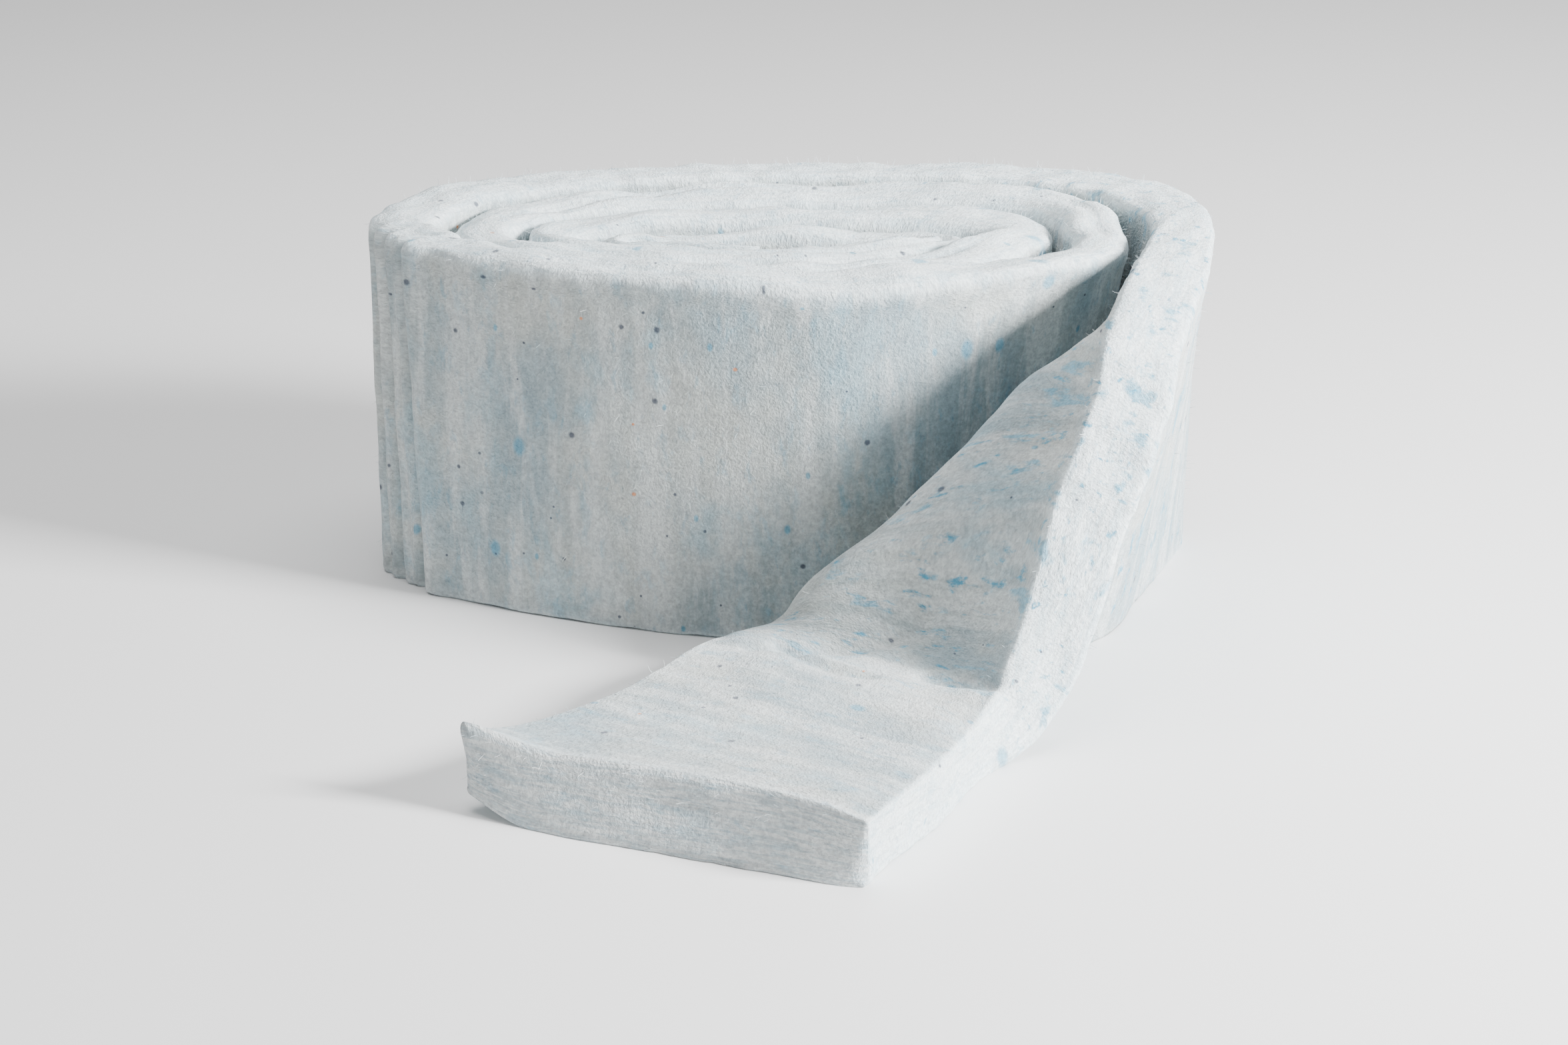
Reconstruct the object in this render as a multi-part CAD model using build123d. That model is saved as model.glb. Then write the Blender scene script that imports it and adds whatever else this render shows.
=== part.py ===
"""Roll of fibre insulation blanket, standing on its end with its free tail folded down onto the floor.

One continuous strip: an oval spiral roll, whose turns show as grooves in both ends, and a tail that
leaves the roll at its right-hand end, folds over outwards and lies flat in front of the roll.
Millimetres, +Z up, origin at the middle of the footprint's box, on the floor.
"""

import math
import os

from build123d import *

# The strip.
strip_width = 370.0  # height of the roll as it stands on its end
tail_thickness = 62.0  # the blanket where nothing squeezes it

# The roll, seen from above.
roll_length = 824.0  # left to right
roll_depth = 398.0  # front to back
core_length = 280.0  # the flat fold at the heart of the roll
core_depth = 16.0
turn_count = 4
front_fullness = 1.55  # exponent of the oval's front half: 2 is an ellipse, less is more pointed
back_fullness = 2.7  # exponent of its back half: more than 2 is fuller at the corners
front_skew_share = 0.36  # how far the front leans to the right, as a share of its half depth
back_skew_share = 0.12
points_per_turn = 24

# The grooves between the turns, in both ends of the roll.
groove_width = 7.0
groove_depth = 32.0
groove_first_turn_share = 0.12  # of a turn past the tail, where the first groove opens
groove_last_turn_share = 0.35  # of a turn short of the heart, where the last one closes
rim_radius = 12.0  # soft outer edge of both ends
rim_steps = 3

# The upper end dips towards the heart, because the inner turns have slid down a little.
dish_depth = 26.0
dish_first_turn = 0.9  # where the dip begins, counted in turns from the tail
dish_last_turn_share = 0.6  # of a turn short of the heart, where it is deepest
dish_overrun_share = 0.2  # of the dip's run, by which the cut goes on above the rim

# The wide gap that the turns leave at the right-hand end of the roll.
gap_width = 22.0
gap_length = 150.0
gap_depth = 150.0

# The tail grows out of the roll at its right-hand end.
root_turn_share = 0.04  # of a turn, where it leaves the roll
root_inset = 24.0  # how far its first section stays inside the roll's faces
root_step = 3.0  # and where it comes out of the roll
root_overlap = 6.0  # how far its inner face runs inside the turn behind it
overrun = 50.0  # how far cuts run past what they cut
join_tolerance = 0.001  # within which faces count as meeting where the stretches are joined
tail_edge_radius = 14.0  # soft upper edge of the stretch that lies on the floor
tail_corner_radius = 20.0  # rounded corners of its cut end, seen from above

# The roll's right-hand front is pulled in at the floor, where the tail wraps tightly round it.
tuck_depth = 65.0
tuck_run = 100.0  # from where the tail leaves the roll forwards, over which the pull grows
tuck_side = 310.0  # left of the roll's right-hand end, where it begins
tuck_side_run = 200.0

# The folded stretch: its inner face at stations along the tail, from the roll to the floor. Each station
# runs from the strip's lower edge over the fold to its upper edge, in shares of the strip's width from
# the floor under the corner of the roll's right-hand end and front.
fold_station_shares = [
    [(-0.21, 0.3, 0), (-0.22, 0.29, 0.32), (-0.22, 0.28, 0.59),
     (-0.22, 0.26, 0.81), (-0.22, 0.24, 1)],
    [(-0.28, 0.16, 0), (-0.28, 0.14, 0.32), (-0.28, 0.11, 0.62),
     (-0.29, 0.05, 0.84), (-0.29, -0.03, 0.98)],
    [(-0.4, 0.12, 0), (-0.4, 0.07, 0.51), (-0.39, 0, 0.82),
     (-0.34, -0.1, 0.89), (-0.33, -0.22, 0.93)],
    [(-0.54, 0.11, 0), (-0.54, 0.02, 0.51), (-0.53, -0.04, 0.76),
     (-0.37, -0.17, 0.8), (-0.34, -0.3, 0.86)],
    [(-0.69, 0.05, 0), (-0.69, -0.03, 0.38), (-0.68, -0.11, 0.64),
     (-0.39, -0.24, 0.71), (-0.36, -0.36, 0.77)],
    [(-0.83, 0.01, 0), (-0.83, -0.08, 0.3), (-0.82, -0.14, 0.52),
     (-0.42, -0.28, 0.63), (-0.38, -0.4, 0.69)],
    [(-0.98, -0.01, 0), (-0.99, -0.12, 0.22), (-0.97, -0.2, 0.39),
     (-0.45, -0.31, 0.53), (-0.41, -0.44, 0.59)],
    [(-1.11, -0.02, 0.01), (-1.13, -0.16, 0.15), (-1.09, -0.24, 0.3),
     (-0.48, -0.37, 0.35), (-0.44, -0.5, 0.41)],
    [(-1.24, -0.14, 0.08), (-1.23, -0.22, 0.15), (-1.14, -0.29, 0.18),
     (-0.56, -0.52, 0.17), (-0.5, -0.6, 0.2)],
]
floor_lift = 8.0  # how far the fold's soft lower edge stays off the floor
knee = 1  # the point of each station that the outer face, inside the fold, cuts short
# The blanket's thickness at those stations, as shares of the tail's: it swells where it bends.
fold_thickness_shares = [1.13, 1.16, 1.19, 1.23, 1.23, 1.23, 1.23, 1.19, 1.10]

# The stretch on the floor, in the same shares: its two long edges.
flat_left_shares = [(-1.34, -0.34), (-1.49, -0.57), (-1.65, -0.76), (-1.88, -0.95)]
flat_right_shares = [(-0.94, -1.35), (-0.85, -1.19), (-0.75, -1.02), (-0.59, -0.78)]

core_half_length = core_length / 2
core_half_depth = core_depth / 2
turn_fall = 1 / turn_count  # share of the way to the heart that one turn takes up
# The oval shrinks steadily along the strip, so its four sides sit at different stages of the first turn.
outer_half_length = core_half_length + (roll_length - core_length) / (2 - turn_fall / 2)
outer_half_depth = core_half_depth + (roll_depth - core_depth) / (2 - turn_fall)
turn_pitch = (outer_half_length - core_half_length) * turn_fall  # strip thickness at the roll's ends
front_half_depth = core_half_depth + (outer_half_depth - core_half_depth) * (1 - 3 * turn_fall / 4)
tail_corner = Vector(outer_half_length, -front_half_depth)  # the roll's right-hand front, seen from above


def oval_point(angle, turns, inset=0.0):
    """A point on the oval that lies that many turns in from the tail, moved in by inset."""
    left = 1 - turns * turn_fall
    half_length = core_half_length + (outer_half_length - core_half_length) * left - inset
    half_depth = core_half_depth + (outer_half_depth - core_half_depth) * left - inset
    cosine = math.cos(angle)
    sine = math.sin(angle)
    power = 2 / (back_fullness if sine > 0 else front_fullness)
    skew_share = back_skew_share if sine > 0 else front_skew_share
    rise = abs(sine) ** power
    x = half_length * math.copysign(abs(cosine) ** power, cosine)
    return Vector(x + skew_share * half_depth * rise**1.5, half_depth * math.copysign(rise, sine))


def spiral_point(turns, inset=0.0):
    """A point on the strip's outer face, that many turns in from the tail, moved in by inset."""
    return oval_point(2 * math.pi * turns, turns, inset)


def spiral_points(first, last, inset=0.0):
    """Points on the strip's outer face between two stages, counted in turns."""
    steps = max(4, round((last - first) * points_per_turn))
    return [spiral_point(first + (last - first) * i / steps, inset) for i in range(steps + 1)]


def roll_outline(height, inset):
    """One turn of the spiral at the given height, closed by a line where the tail leaves it."""
    first_turn = spiral_points(root_turn_share, 1 + root_turn_share, inset)
    raised = [point + Vector(0, 0, height) for point in first_turn]
    return Wire([Edge.make_spline(raised), Edge.make_line(raised[-1], raised[0])])


def roll_body():
    """The wound oval, stacked from outlines so that both ends have a soft rim."""
    bends = [math.radians(90) * i / rim_steps for i in range(rim_steps + 1)]
    rim = [(rim_radius * (1 - math.cos(bend)), rim_radius * (1 - math.sin(bend))) for bend in bends]
    lower = [roll_outline(height, inset) for height, inset in rim]
    upper = [roll_outline(strip_width - height, inset) for height, inset in reversed(rim)]
    return Solid.make_loft(lower + upper, ruled=True)


def groove_cutter(height):
    """The spiral slot between the turns, from the given height up through one groove's depth."""
    first = 1 + groove_first_turn_share
    last = turn_count - groove_last_turn_share
    outer = spiral_points(first, last, -groove_width / 2)
    inner = spiral_points(first, last, groove_width / 2)
    edges = [
        Edge.make_spline(outer),
        Edge.make_line(outer[-1], inner[-1]),
        Edge.make_spline(inner[::-1]),
        Edge.make_line(inner[0], outer[0]),
    ]
    slot = Solid.extrude(Face(Wire(edges)), Vector(0, 0, groove_depth + dish_depth + overrun))
    return Pos(0, 0, height) * slot


def dish_outline(turns, height):
    """A closed oval at the given height, that many turns in from the tail."""
    angles = [2 * math.pi * i / points_per_turn for i in range(points_per_turn)]
    ring = [oval_point(angle, turns) + Vector(0, 0, height) for angle in angles]
    return Wire([Edge.make_spline(ring, periodic=True)])


def end_dish():
    """The shallow dip in the upper end, cut on past its rim."""
    deepest = turn_count - dish_last_turn_share
    above = dish_first_turn - (deepest - dish_first_turn) * dish_overrun_share
    upper = dish_outline(above, strip_width + dish_depth * dish_overrun_share)
    return Solid.make_loft([dish_outline(deepest, strip_width - dish_depth), upper], ruled=True)


def end_gap():
    """The open gap between the second turn and the ends of the turns inside it."""
    middle = outer_half_length - 2 * turn_pitch
    slot = Box(gap_width, gap_length, gap_depth + overrun, align=(Align.CENTER, Align.CENTER, Align.MIN))
    return Pos(middle, -core_depth, strip_width - gap_depth) * slot


def ease(share):
    """A share from 0 to 1 with a soft start and end."""
    share = min(max(share, 0.0), 1.0)
    return share * share * (3 - 2 * share)


def tail_point(shares):
    """A place on the tail, from its shares of the strip's width."""
    return tail_corner + Vector(*shares) * strip_width


def lifted(point):
    """The same point, no lower than the fold's lower edge."""
    return Vector(point.X, point.Y, max(point.Z, floor_lift))


def tucked(point):
    """A point of the tail, pulled in to the left near the floor at the roll's right-hand front."""
    forward = spiral_point(root_turn_share).Y - point.Y
    rightward = point.X - tail_corner.X + tuck_side
    pull = ease(forward / tuck_run) * ease(rightward / tuck_side_run)
    return point - Vector(tuck_depth * pull * (1 - point.Z / strip_width), 0, 0)


def root_rows(turns, inset):
    """Inner and outer face of the upright strip, so many turns in, set in from the roll's faces."""
    inner_foot = spiral_point(turns + 1, root_overlap - inset)
    outer_foot = spiral_point(turns, inset)
    last = len(fold_station_shares[0]) - 1
    heights = [inset + (strip_width - 2 * inset) * i / last for i in range(last + 1)]
    inner = [lifted(tucked(inner_foot + Vector(0, 0, z))) for z in heights]
    outer = [lifted(tucked(outer_foot + Vector(0, 0, z))) for z in heights]
    return inner, outer


def section_wire(inner, outer):
    """The closed cross-section between the two faces of the strip, the outer one a slack curve."""
    return Wire(
        [
            Edge.make_spline(inner),
            Edge.make_line(inner[-1], outer[-1]),
            Edge.make_bezier(*outer[::-1]),
            Edge.make_line(outer[0], inner[0]),
        ]
    )


def floor_rows():
    """Upper and lower face of the strip where it has come down flat on the floor."""
    left = tail_point(flat_left_shares[0])
    right = tail_point(flat_right_shares[-1])
    last = len(fold_station_shares[0]) - 1
    lower = [left + (right - left) * (i / last) for i in range(last + 1)]
    return [point + Vector(0, 0, tail_thickness) for point in lower], lower


def fold_rows():
    """Inner and outer face at every station of the fold, the outer one square off the inner."""
    inner = [[lifted(tucked(tail_point(shares))) for shares in row] for row in fold_station_shares]
    before = [root_rows(0, 0)[0]] + inner[:-1]
    after = inner[1:] + [floor_rows()[0]]
    rows = []
    for i, row in enumerate(inner):
        thickness = fold_thickness_shares[i] * tail_thickness
        outer = []
        for j, point in enumerate(row):
            along = after[i][j] - before[i][j]
            across = row[min(j + 1, len(row) - 1)] - row[max(j - 1, 0)]
            if j != knee:
                outer.append(lifted(point + across.cross(along).normalized() * thickness))
        rows.append((row, outer))
    return rows


def folded_stretch():
    """The tail from inside the roll to the floor, lofted from station to station."""
    rows = [root_rows(2 * root_turn_share, root_inset), root_rows(root_turn_share, root_step)]
    rows += [root_rows(0, 0)] + fold_rows() + [floor_rows()]
    return Solid.make_loft([section_wire(inner, outer) for inner, outer in rows], ruled=True)


def flat_stretch():
    """The tail's end, lying flat on the floor, with a soft upper edge."""
    left = [tail_point(shares) for shares in flat_left_shares]
    right = [tail_point(shares) for shares in flat_right_shares]
    edges = [
        Edge.make_spline(left),
        Edge.make_line(left[-1], right[0]),
        Edge.make_spline(right),
        Edge.make_line(right[-1], left[0]),
    ]
    slab = Solid.extrude(Face(Wire(edges)), Vector(0, 0, tail_thickness))
    end_corners = slab.edges().filter_by(Axis.Z).sort_by(Axis.Y)[:2]
    slab = slab.fillet(tail_corner_radius, end_corners)
    upper_edges = slab.edges().group_by(Axis.Z)[-1].sort_by(Axis.Y)
    return slab.fillet(tail_edge_radius, upper_edges[:-1])


def insulation_blanket():
    """The whole strip as one solid, with its origin under the middle of its box."""
    pieces = [roll_body(), folded_stretch(), flat_stretch()]
    boxes = [piece.bounding_box() for piece in pieces]
    left = min(box.min.X for box in boxes)
    right = max(box.max.X for box in boxes)
    front = min(box.min.Y for box in boxes)
    back = max(box.max.Y for box in boxes)
    place = Pos(-(left + right) / 2, -(front + back) / 2, 0)
    roll, fold, floor_end = [place * piece for piece in pieces]
    blanket = roll.fuse(fold, floor_end, tol=join_tolerance)
    blanket -= place * end_dish()
    blanket -= place * groove_cutter(strip_width - dish_depth - groove_depth)
    blanket -= place * groove_cutter(-dish_depth - overrun)
    return blanket - place * end_gap()


os.makedirs("parts", exist_ok=True)
part = insulation_blanket()
export_step(part, "parts/insulation_blanket.step")
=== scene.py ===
import math

import bpy
import numpy as np
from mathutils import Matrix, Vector, noise


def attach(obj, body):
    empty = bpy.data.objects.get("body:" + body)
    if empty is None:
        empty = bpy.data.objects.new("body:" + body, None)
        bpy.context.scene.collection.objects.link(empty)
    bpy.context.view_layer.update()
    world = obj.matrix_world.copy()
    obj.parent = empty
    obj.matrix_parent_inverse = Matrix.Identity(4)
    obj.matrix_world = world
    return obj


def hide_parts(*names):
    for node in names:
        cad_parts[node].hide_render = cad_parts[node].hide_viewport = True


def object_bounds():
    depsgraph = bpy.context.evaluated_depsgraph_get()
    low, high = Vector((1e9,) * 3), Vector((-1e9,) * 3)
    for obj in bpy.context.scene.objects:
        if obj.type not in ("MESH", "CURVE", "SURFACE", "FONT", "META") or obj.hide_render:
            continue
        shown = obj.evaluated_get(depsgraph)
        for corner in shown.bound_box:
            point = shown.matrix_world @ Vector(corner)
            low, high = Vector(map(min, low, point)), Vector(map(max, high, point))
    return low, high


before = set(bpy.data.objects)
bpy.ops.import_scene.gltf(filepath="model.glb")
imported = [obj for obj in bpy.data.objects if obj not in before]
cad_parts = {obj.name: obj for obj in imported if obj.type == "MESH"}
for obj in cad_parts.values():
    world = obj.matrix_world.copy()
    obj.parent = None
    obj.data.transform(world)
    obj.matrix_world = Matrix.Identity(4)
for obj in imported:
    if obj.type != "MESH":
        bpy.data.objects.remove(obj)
cad_low, cad_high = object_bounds()

NODE = "insulation_blanket"

# The roll in metres, with the same driving sizes as the solid.
STRIP_WIDTH = 0.370
TAIL_THICKNESS = 0.062
ROLL_LENGTH = 0.824
ROLL_DEPTH = 0.398
CORE_LENGTH = 0.280
CORE_DEPTH = 0.016
TURNS = 4
FRONT_FULLNESS = 1.55  # exponent of the oval's front half: under 2 is pointed
BACK_FULLNESS = 2.7  # exponent of its back half: over 2 is full
FRONT_SKEW = 0.36  # how far the front leans to the right, as a share of its half depth
BACK_SKEW = 0.12
SKEW_POWER = 1.5  # how late the lean comes in

# The right-hand front is pulled in at the floor, at places measured from the roll's middle.
TUCK_DEPTH = 0.065
TUCK_START = 0.080
TUCK_RUN = 0.100
TUCK_SIDE = 0.120
TUCK_SIDE_RUN = 0.200

TURN_FALL = 1 / TURNS
CORE_X = CORE_LENGTH / 2
CORE_Y = CORE_DEPTH / 2
OUTER_X = CORE_X + (ROLL_LENGTH - CORE_LENGTH) / (2 - TURN_FALL / 2)
OUTER_Y = CORE_Y + (ROLL_DEPTH - CORE_DEPTH) / (2 - TURN_FALL)
BACK_Y = CORE_Y + (OUTER_Y - CORE_Y) * (1 - TURN_FALL / 4)
FRONT_Y = CORE_Y + (OUTER_Y - CORE_Y) * (1 - TURN_FALL * 3 / 4)
ROLL_CENTRE = np.array([cad_high.x - OUTER_X, cad_high.y - BACK_Y])
TAIL_CORNER = ROLL_CENTRE + np.array([OUTER_X, -FRONT_Y])

# How the winding looks from above. Places along it are counted in turns from the tail.
LAST_TURN = 3.72  # where the strip ends inside the heart
OUTER_TURN_END = 1.05  # up to here the strip's outer face shows
SEAM = 0.0045  # everyday gap between two turns
SEAM_START = 0.9  # where the seams begin
SEAM_START_RUN = 0.3  # over which they come in
SEAM_WANDER = 0.012  # how far a seam strays from the even spiral
SEAM_WAVES = 5.0  # of that straying, to the turn
SEAM_SEED = 3.7
SAG = 0.005  # the first inner turn's top stands this much lower
SAG_POWER = 1.2  # over 1: the fall grows from turn to turn
SAG_LAST_TURN = 3.2
# Waves of the strip's upper edge: height, waves to the turn, seed.
TOP_WAVES = [(0.004, 7.0, 11.3), (0.002, 23.0, 5.1)]
# Places along the winding where a seam opens up: turn, extra width, spread in turns.
OPEN_SEAMS = [
    (1.00, 0.060, 0.035),
    (1.52, 0.020, 0.025),
    (1.95, 0.034, 0.040),
    (2.22, 0.010, 0.06),
    (2.51, 0.014, 0.030),
    (3.03, 0.018, 0.030),
    (3.30, 0.010, 0.06),
    (3.50, 0.014, 0.05),
]
# Upright pleats at the roll's left-hand end: turn, depth (minus stands proud), spread in turns.
PLEATS = [
    (0.509, 0.012, 0.0050),
    (0.526, 0.022, 0.0045),
    (0.538, 0.004, 0.0030),
    (0.547, 0.024, 0.0035),
    (0.558, -0.008, 0.0070),
]
PLEAT_SLANT = 0.008  # turns that a pleat drifts between the floor and the top
PLEATS_MIDDLE = PLEATS[2][0]
PLEATS_REACH = 0.1  # turns to either side within which they press the face in
PLEATS_MESH_REACH = 0.04  # turns to either side with a finer mesh

# The turns' upper edges: heights in metres, other places as shares of the strip's width or thickness.
# Noise is given as waves to the metre along, across and through the strip, and a seed.
SWELL_START = 0.1  # turns from the tail
SWELL_RUN = 0.9
UPPER_START = 0.9  # share of the width where the upper edge begins
UPPER_RUN = 0.08
PILLOW = 0.011  # how far an inner turn's upper edge falls off towards the seams
PILLOW_OUTER_SHARE = 0.3  # of that on the outermost turn
PILLOW_POWER = 4
UNEVENNESS = 0.009  # of the inner turns' upper edges
UNEVEN_NOISE = ((11, 0, 22), 3.3)
LAYER_LINE = 0.009  # depth of the lines where a turn's layers part
LAYER_LINE_WIDTH = 0.08
LAYER_LINE_PLACE = 0.5
LAYER_LINE_WANDER = 0.35
LAYER_WANDER_NOISE = ((6, 0, 0), 6.1)
LAYER_SHOWN = 0.35  # how much of a line shows on average
LAYER_SHOWN_CHANGE = 1.6
LAYER_SHOWN_NOISE = ((5, 0, 0), 8.8)

# The tail's inner face at stations from the roll to the cut end, the fold's ones much as in the solid.
# Each runs from the strip's lower edge over the fold to its upper edge, in shares of the strip's width
# from the floor under the corner of the roll's right-hand end and front.
TAIL_STATION_SHARES = [
    [(-0.21, 0.3, 0), (-0.22, 0.29, 0.32), (-0.22, 0.28, 0.59),
     (-0.22, 0.26, 0.81), (-0.22, 0.24, 1)],
    [(-0.28, 0.16, 0), (-0.28, 0.14, 0.32), (-0.28, 0.11, 0.62),
     (-0.29, 0.05, 0.84), (-0.29, -0.03, 0.98)],
    [(-0.4, 0.12, 0), (-0.4, 0.07, 0.51), (-0.39, 0, 0.82),
     (-0.34, -0.1, 0.89), (-0.33, -0.22, 0.93)],
    [(-0.54, 0.11, 0), (-0.54, 0.02, 0.51), (-0.53, -0.04, 0.76),
     (-0.37, -0.17, 0.8), (-0.34, -0.3, 0.86)],
    [(-0.69, 0.05, 0), (-0.69, -0.03, 0.38), (-0.68, -0.11, 0.64),
     (-0.39, -0.24, 0.71), (-0.36, -0.36, 0.77)],
    [(-0.83, 0.01, 0), (-0.83, -0.08, 0.3), (-0.82, -0.14, 0.52),
     (-0.42, -0.28, 0.63), (-0.38, -0.4, 0.69)],
    [(-0.98, -0.01, 0), (-0.99, -0.12, 0.22), (-0.97, -0.2, 0.39),
     (-0.45, -0.31, 0.53), (-0.41, -0.44, 0.59)],
    [(-1.11, -0.02, 0.01), (-1.13, -0.16, 0.15), (-1.09, -0.24, 0.3),
     (-0.48, -0.37, 0.35), (-0.44, -0.5, 0.41)],
    [(-1.24, -0.14, 0.08), (-1.23, -0.22, 0.15), (-1.14, -0.29, 0.18),
     (-0.57, -0.52, 0.17), (-0.5, -0.62, 0.22)],
    [(-1.34, -0.34, 0.16), (-1.22, -0.39, 0.17), (-1.06, -0.48, 0.17),
     (-0.79, -0.66, 0.16), (-0.59, -0.78, 0.17)],
    [(-1.49, -0.57, 0.16), (-1.35, -0.64, 0.17), (-1.17, -0.75, 0.17),
     (-0.95, -0.89, 0.16), (-0.75, -1.02, 0.17)],
    [(-1.65, -0.76, 0.17), (-1.52, -0.82, 0.17), (-1.27, -0.94, 0.17),
     (-1.06, -1.07, 0.17), (-0.85, -1.19, 0.17)],
    [(-1.88, -0.95, 0.17), (-1.71, -1, 0.17), (-1.41, -1.09, 0.17),
     (-1.11, -1.23, 0.17), (-0.94, -1.35, 0.17)],
]
# The blanket's thickness at those stations, as shares of the tail's: it swells where it bends.
TAIL_THICKNESS_SHARES = [1.13, 1.16, 1.19, 1.23, 1.23, 1.23, 1.23, 1.19, 1.1, 1.02, 1, 1, 1]
ROOT_TURNS = (0.06, 0.04, 0.02)  # the roll's last stages that the tail's curve starts from
SLACKNESS = 0.35  # share of the way from the curve through a station's points to the slack one over them
EDGE_ROUNDING = 0.006

# The cut end: its lower side runs on past the upper one, and a thin layer curls up at its left.
END_SLANT = 0.036
END_REACH = 0.09  # length of the tail that the slant and the lifted corner fade out over
CURL_HEIGHT = 0.020
CURL_LENGTH = 0.016
CURL_WIDTH = 0.085
CURL_REACH = 0.007  # how far the curl sticks out to the left
CURL_LAYER = 0.25  # share of the thickness that curls
CORNER_LIFT = 0.016  # the left-hand lower corner is pinched up off the floor
CORNER_WIDTH = 0.065
CUT_START = 0.004  # length of the tail that has the cut end's relief
CUT_RELIEF_POWER = 4  # how soon the relief fades towards the sides
# Its fibre layers: height, then noise over shares of the width and thickness.
CUT_RELIEF = [(0.0022, (1.0, 9.0, 13.0), 4.1), (0.0018, (1.0, 40.0, 20.0), 8.3)]
# The parting between two of them, in shares of the thickness.
SPLIT_DEPTH = 0.004  # in metres
SPLIT_LEFT_SHARE = 0.4  # of that depth at the left
SPLIT_PLACE = 0.46
SPLIT_WIDTH = 0.05
SPLIT_WAVE = 0.05
SPLIT_WAVE_RATE = 9  # radians over the width

# Soft creases where the tail comes down to the floor: three places from the roll's middle, and a depth.
CREASES = [
    ((-0.019, -0.330), (0.065, -0.326), (0.144, -0.319), 0.007),
    ((0.009, -0.319), (0.048, -0.381), (0.087, -0.388), 0.007),
    ((0.142, -0.381), (0.180, -0.405), (0.222, -0.434), 0.007),
]
CREASE_WIDTH = 0.008
CREASE_SAMPLES = 25
CREASE_LAYER = 0.625  # share of the thickness that they reach down to
CREASE_LIMIT = 1.1  # length of the tail that they stay in

# Relief of the whole surface: height, then noise by the metre.
FACE_RELIEF = [(0.0018, (16, 16, 16), 1.7), (0.0010, (60, 30, 60), 5.2)]
EDGE_RELIEF = [(0.0026, (38, 38, 60), 9.4), (0.0012, (110, 110, 110), 2.9)]
EDGE_RELIEF_WIDTH = 0.012
LOWER_EDGE_SHARE = 0.4  # of the relief on the edge that stands on the floor
RELIEF_START = 0.012  # length of the tail over which it comes in
EDGE_COLOUR_WIDTH = 0.008

# Colours.
COOL_GREY = (0.30, 0.39, 0.43, 1)
WARM_GREY = (0.52, 0.55, 0.53, 1)
PALE_STREAK = (0.65, 0.69, 0.69, 1)
BLUE_PATCH = (0.30, 0.46, 0.53, 1)
EDGE_WHITE = (0.76, 0.84, 0.86, 1)
EDGE_BLUE = (0.56, 0.70, 0.76, 1)
EDGE_SHADE = (0.50, 0.59, 0.62, 1)
CUT_DARK = (0.48, 0.56, 0.59, 1)
CUT_PALE = (0.70, 0.74, 0.74, 1)
TEAL_RAG = (0.04, 0.30, 0.47, 1)
BLUE_RAG = (0.16, 0.40, 0.54, 1)
NAVY_SPECK = (0.02, 0.03, 0.07, 1)
ORANGE_SPECK = (0.75, 0.25, 0.07, 1)
DIMMER = (0.84, 0.84, 0.85, 1)
BRIGHTER = (1.15, 1.15, 1.14, 1)
FLOOR_WHITE = (0.92, 0.92, 0.92, 1)

# Noise in the colours: grains to the metre along, across and through the strip, detail, offset, swirl.
GRAINS = {
    "clouds": ((8, 5, 8), 4.0, 0.0, 0.0),
    "streaks": ((42, 5, 34), 5.0, 3.1, 0.4),
    "patches": ((16, 7, 16), 5.0, 7.7, 0.2),
    "tufts": ((230, 180, 230), 4.0, 4.4, 0.2),
    "fine": ((430, 380, 430), 2.0, 1.3, 0.0),
    "layers": ((16, 16, 130), 4.0, 5.9, 0.8),
    "threads": ((30, 30, 420), 3.0, 2.2, 0.6),
    "dye": ((48, 20, 48), 5.0, 9.2, 0.3),
    "rag": ((100, 34, 100), 5.0, 12.6, 0.3),
}
GRAIN_ROUGHNESS = 0.62
# Colours laid over another: the noise, the two levels between which it comes in, its most, the colour.
FACE_MIXES = [
    ("clouds", 0.36, 0.64, 1.0, WARM_GREY),
    ("streaks", 0.42, 0.62, 0.7, PALE_STREAK),
    ("patches", 0.52, 0.68, 0.6, BLUE_PATCH),
]
TORN_MIXES = [("layers", 0.44, 0.66, 0.7, EDGE_BLUE), ("threads", 0.48, 0.68, 0.6, EDGE_SHADE)]
CUT_MIXES = [("threads", 0.40, 0.60, 1.0, CUT_DARK), ("layers", 0.50, 0.66, 0.7, PALE_STREAK)]
DYE_MIXES = [("dye", 0.56, 0.67, 0.8, BLUE_RAG), ("rag", 0.57, 0.70, 0.9, TEAL_RAG)]
CUT_FADE = (0.004, -0.001)  # lengths of the tail between which the torn edge turns into the cut end
DYED_START = (0.20, 0.38)  # lengths of the tail between which the dye comes in
DYED_END = (1.25, 0.95)  # and between which it goes again, the farther one first
DYE_ELSEWHERE = 0.3
# Specks of rag: cells to the metre along and across, size as a share of a cell, the tint that chooses
# the cells, the share of them left empty, strength, colour.
SPECKS = [
    (30, 17, 0.16, 1, 0.82, 0.65, TEAL_RAG),
    (38, 34, 0.11, 2, 0.88, 0.8, NAVY_SPECK),
    (22, 22, 0.08, 0, 0.98, 0.8, ORANGE_SPECK),
]
SPECK_SHRINK = (2.0, 0.7)  # the smallest and the largest speck, as divisors of the size
SPECK_CORE = 0.4  # share of a speck that has its full colour
SPECK_CHOICE = 0.01  # how sharply the cells are chosen
SPECK_START = 0.006  # length of the tail over which they come in
# Light and dark tufts: the noise and its strength. Fine relief: the noise, strength and height.
SHADES = [("tufts", 1.0), ("fine", 0.7)]
SHADE_LEVELS = (0.3, 0.7)
BUMPS = [("fine", 0.6, 0.002), ("tufts", 0.5, 0.003)]
FELT = {"Roughness": 1.0, "Specular IOR Level": 0.1, "Sheen Weight": 0.25, "Sheen Roughness": 0.7}

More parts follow.
